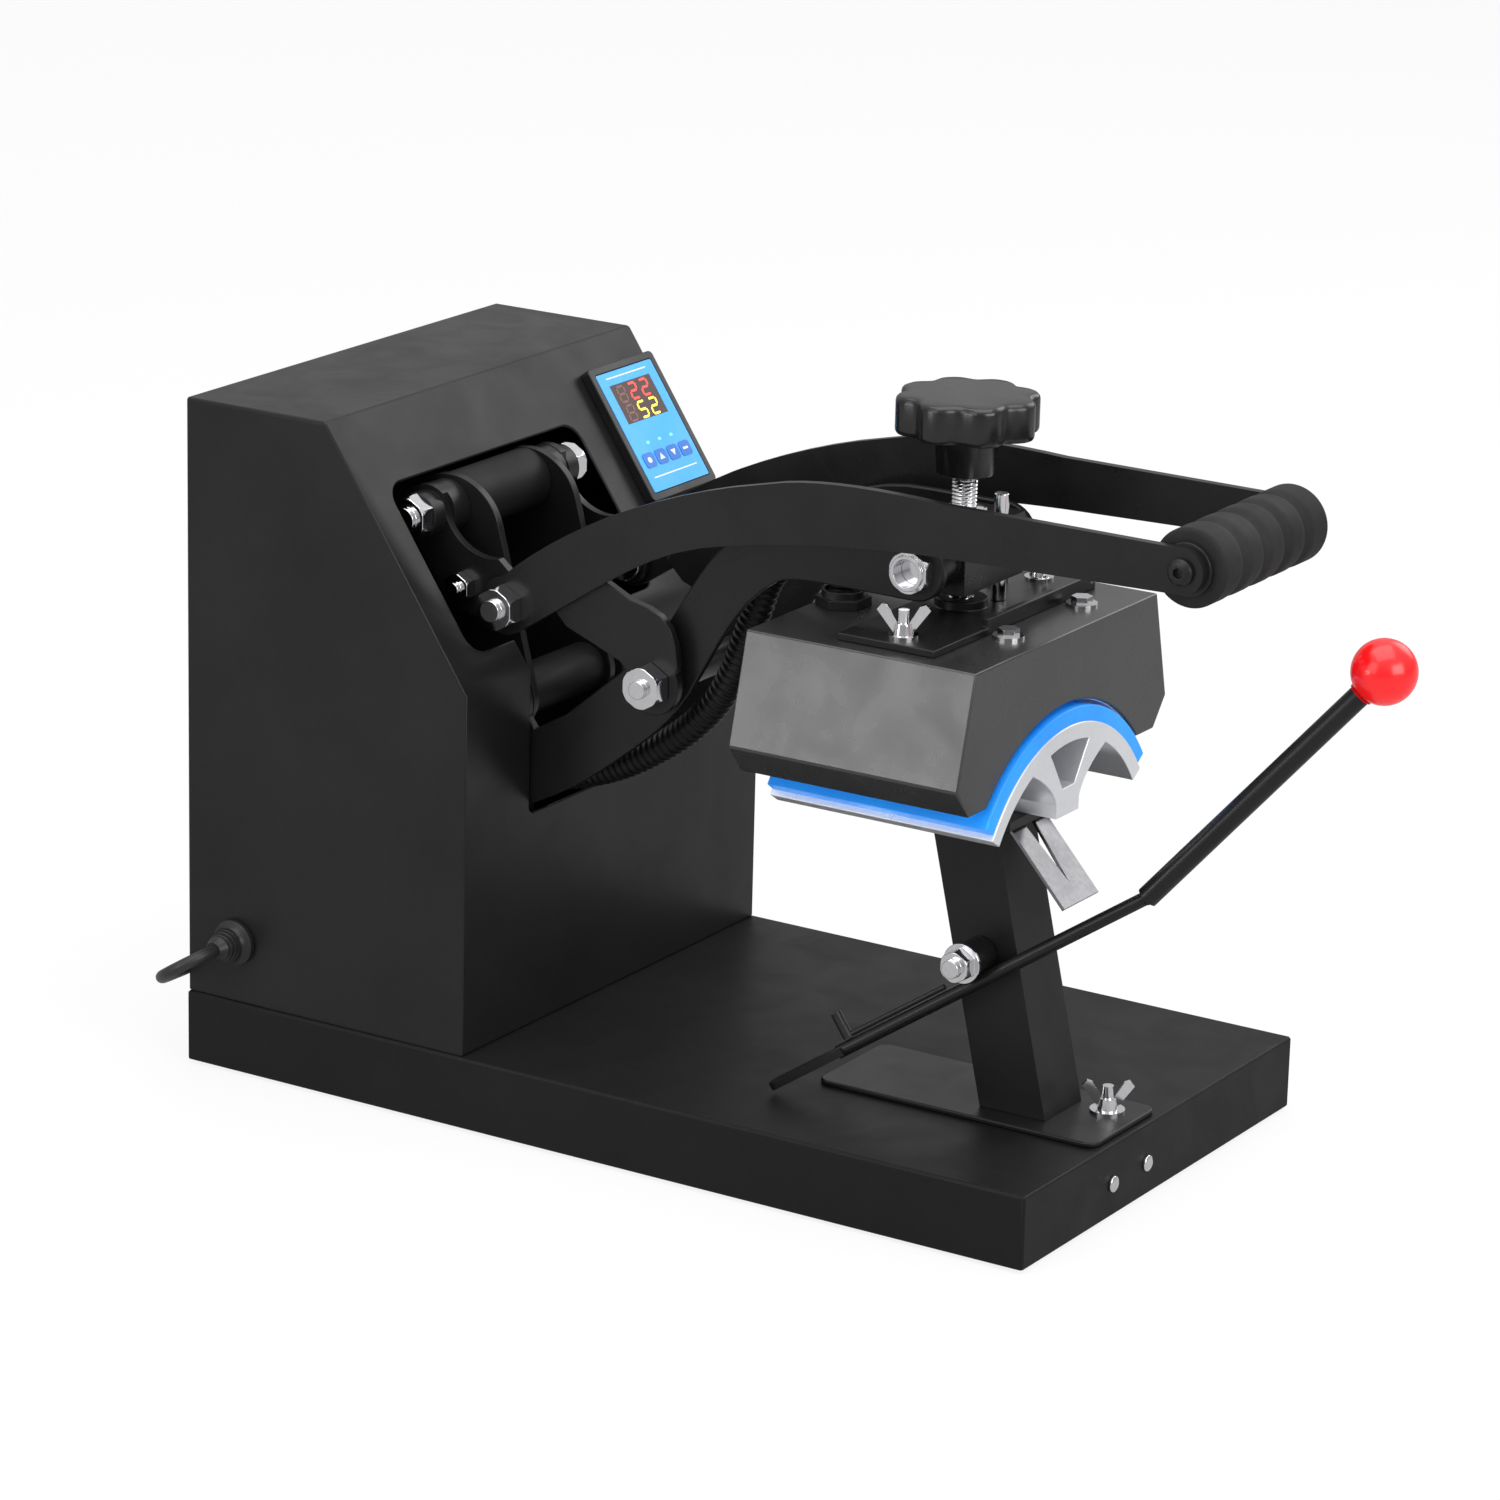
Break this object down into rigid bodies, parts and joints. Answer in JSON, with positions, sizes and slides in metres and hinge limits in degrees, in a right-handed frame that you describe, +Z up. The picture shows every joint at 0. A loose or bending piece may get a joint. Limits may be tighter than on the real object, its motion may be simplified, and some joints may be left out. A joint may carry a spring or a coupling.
{
  "type": "cap heat press",
  "caption": "Clamshell cap heat press: an arched heated head on a toggle arm closes on an arched rubber-faced platen, with a star pressure knob and a cap tension lever.",
  "frame": {"origin": "middle of the base pan's underside, on the surface it stands on", "axes": "+X to the controller's side, -Y to the front where the handle is, +Z up"},
  "size_m": [0.4357, 0.789, 0.428],
  "materials": {
    "black_powder_coat": "satin powder coat with a fine orange-peel",
    "black_steel": "satin",
    "satin_head_paint": "smooth satin enamel",
    "chrome_fasteners": "bright plated",
    "dark_spring_steel": "polished spring steel",
    "black_screws": "black oxide",
    "cast_aluminium": "fine machined casting",
    "blue_silicone": "smooth silicone sponge",
    "black_foam": "matt closed-cell foam",
    "black_plastic": "moulded",
    "cord_rubber": "smooth matt",
    "red_plastic": "polished ball",
    "blue_membrane": "printed membrane",
    "dark_display": "tinted window",
    "insulation_board": "pressed fibre"
  },
  "bodies": {
    "frame": {"base_pan": "black_powder_coat", "base_cover": "black_steel", "front_rivets": "chrome_fasteners", "housing_shell": "black_powder_coat", "rear_cover": "black_powder_coat", "rear_screws": "chrome_fasteners", "frame_plate_left": "black_powder_coat", "frame_plate_right": "black_powder_coat", "axle_sleeves": "black_steel", "pivot_washers": "chrome_fasteners", "control_bezel": "black_powder_coat", "control_panel": "blue_membrane", "display_window": "dark_display", "cable_gland": "black_plastic", "cord": "cord_rubber", "cord_coil": "cord_rubber", "plug": "black_plastic", "foot_plate": "black_powder_coat", "foot_wing_nut": "chrome_fasteners", "post": "black_powder_coat", "platen_bracket": "black_powder_coat", "platen": "cast_aluminium", "silicone_pad": "blue_silicone", "brim_hook": "dark_spring_steel", "lever_pivot_bolt": "chrome_fasteners"},
    "head_arm": {"head_arm_left": "black_powder_coat", "head_arm_right": "black_powder_coat", "lower_axle": "chrome_fasteners", "arm_spreader": "black_steel", "elbow_bolt": "chrome_fasteners", "elbow_spacers": "black_steel", "cross_shaft": "chrome_fasteners", "cross_nuts": "chrome_fasteners", "yoke_block": "black_powder_coat", "conduit": "black_plastic"},
    "handle": {"handle_arm_left": "black_powder_coat", "handle_arm_right": "black_powder_coat", "elbow_bracket_left": "black_powder_coat", "elbow_bracket_right": "black_powder_coat", "grip_tube": "black_steel", "foam_grip": "black_foam", "grip_screws": "black_screws", "handle_pivot_bolts": "chrome_fasteners"},
    "links": {"link_left": "black_powder_coat", "link_right": "black_powder_coat", "upper_axle": "chrome_fasteners", "link_stop_bolts": "chrome_fasteners"},
    "head": {"head_shell": "satin_head_paint", "heater_block": "cast_aluminium", "head_insulation": "insulation_board", "head_bracket": "black_powder_coat", "head_fasteners": "chrome_fasteners", "guide_rod": "chrome_fasteners", "head_gland": "black_plastic"},
    "knob": {"pressure_knob": "black_plastic", "spindle": "chrome_fasteners"},
    "lever": {"lever_rod": "black_powder_coat", "lever_ball": "red_plastic", "lever_sleeve": "black_powder_coat", "lever_strap": "chrome_fasteners"}
  },
  "joints": [
    {"name": "head_lift", "type": "hinge", "parent": "frame", "child": "head_arm", "pos_m": [-0.035, 0.106, 0.226], "axis": [-1, 0, 0], "range_deg": [0, 34]},
    {"name": "handle_pivot", "type": "hinge", "parent": "head_arm", "child": "handle", "pos_m": [-0.035, 0, 0.2565], "axis": [-1, 0, 0], "range_deg": [0, 15]},
    {"name": "link_swing", "type": "hinge", "parent": "frame", "child": "links", "pos_m": [-0.035, 0.147, 0.328], "axis": [-1, 0, 0], "range_deg": [-30, 0]},
    {"name": "head_height", "type": "slide", "parent": "head_arm", "child": "head", "axis": [0, 0, 1], "range_m": [0, 0.006]},
    {"name": "knob_turn", "type": "hinge", "parent": "head", "child": "knob", "pos_m": [-0.035, -0.154, 0.4], "axis": [0, 0, 1], "range_deg": [0, 1081]},
    {"name": "lever_swing", "type": "hinge", "parent": "frame", "child": "lever", "pos_m": [-0.065, -0.186, 0.132], "axis": [1, 0, 0], "range_deg": [0, 35]}
  ],
  "couplings": [
    {"joint": "handle_pivot", "follows": "head_lift", "ratio": 0.44},
    {"joint": "link_swing", "follows": "head_lift", "ratio": -0.88},
    {"joint": "knob_turn", "follows": "head_height", "rad_per_m": 3141.6}
  ]
}
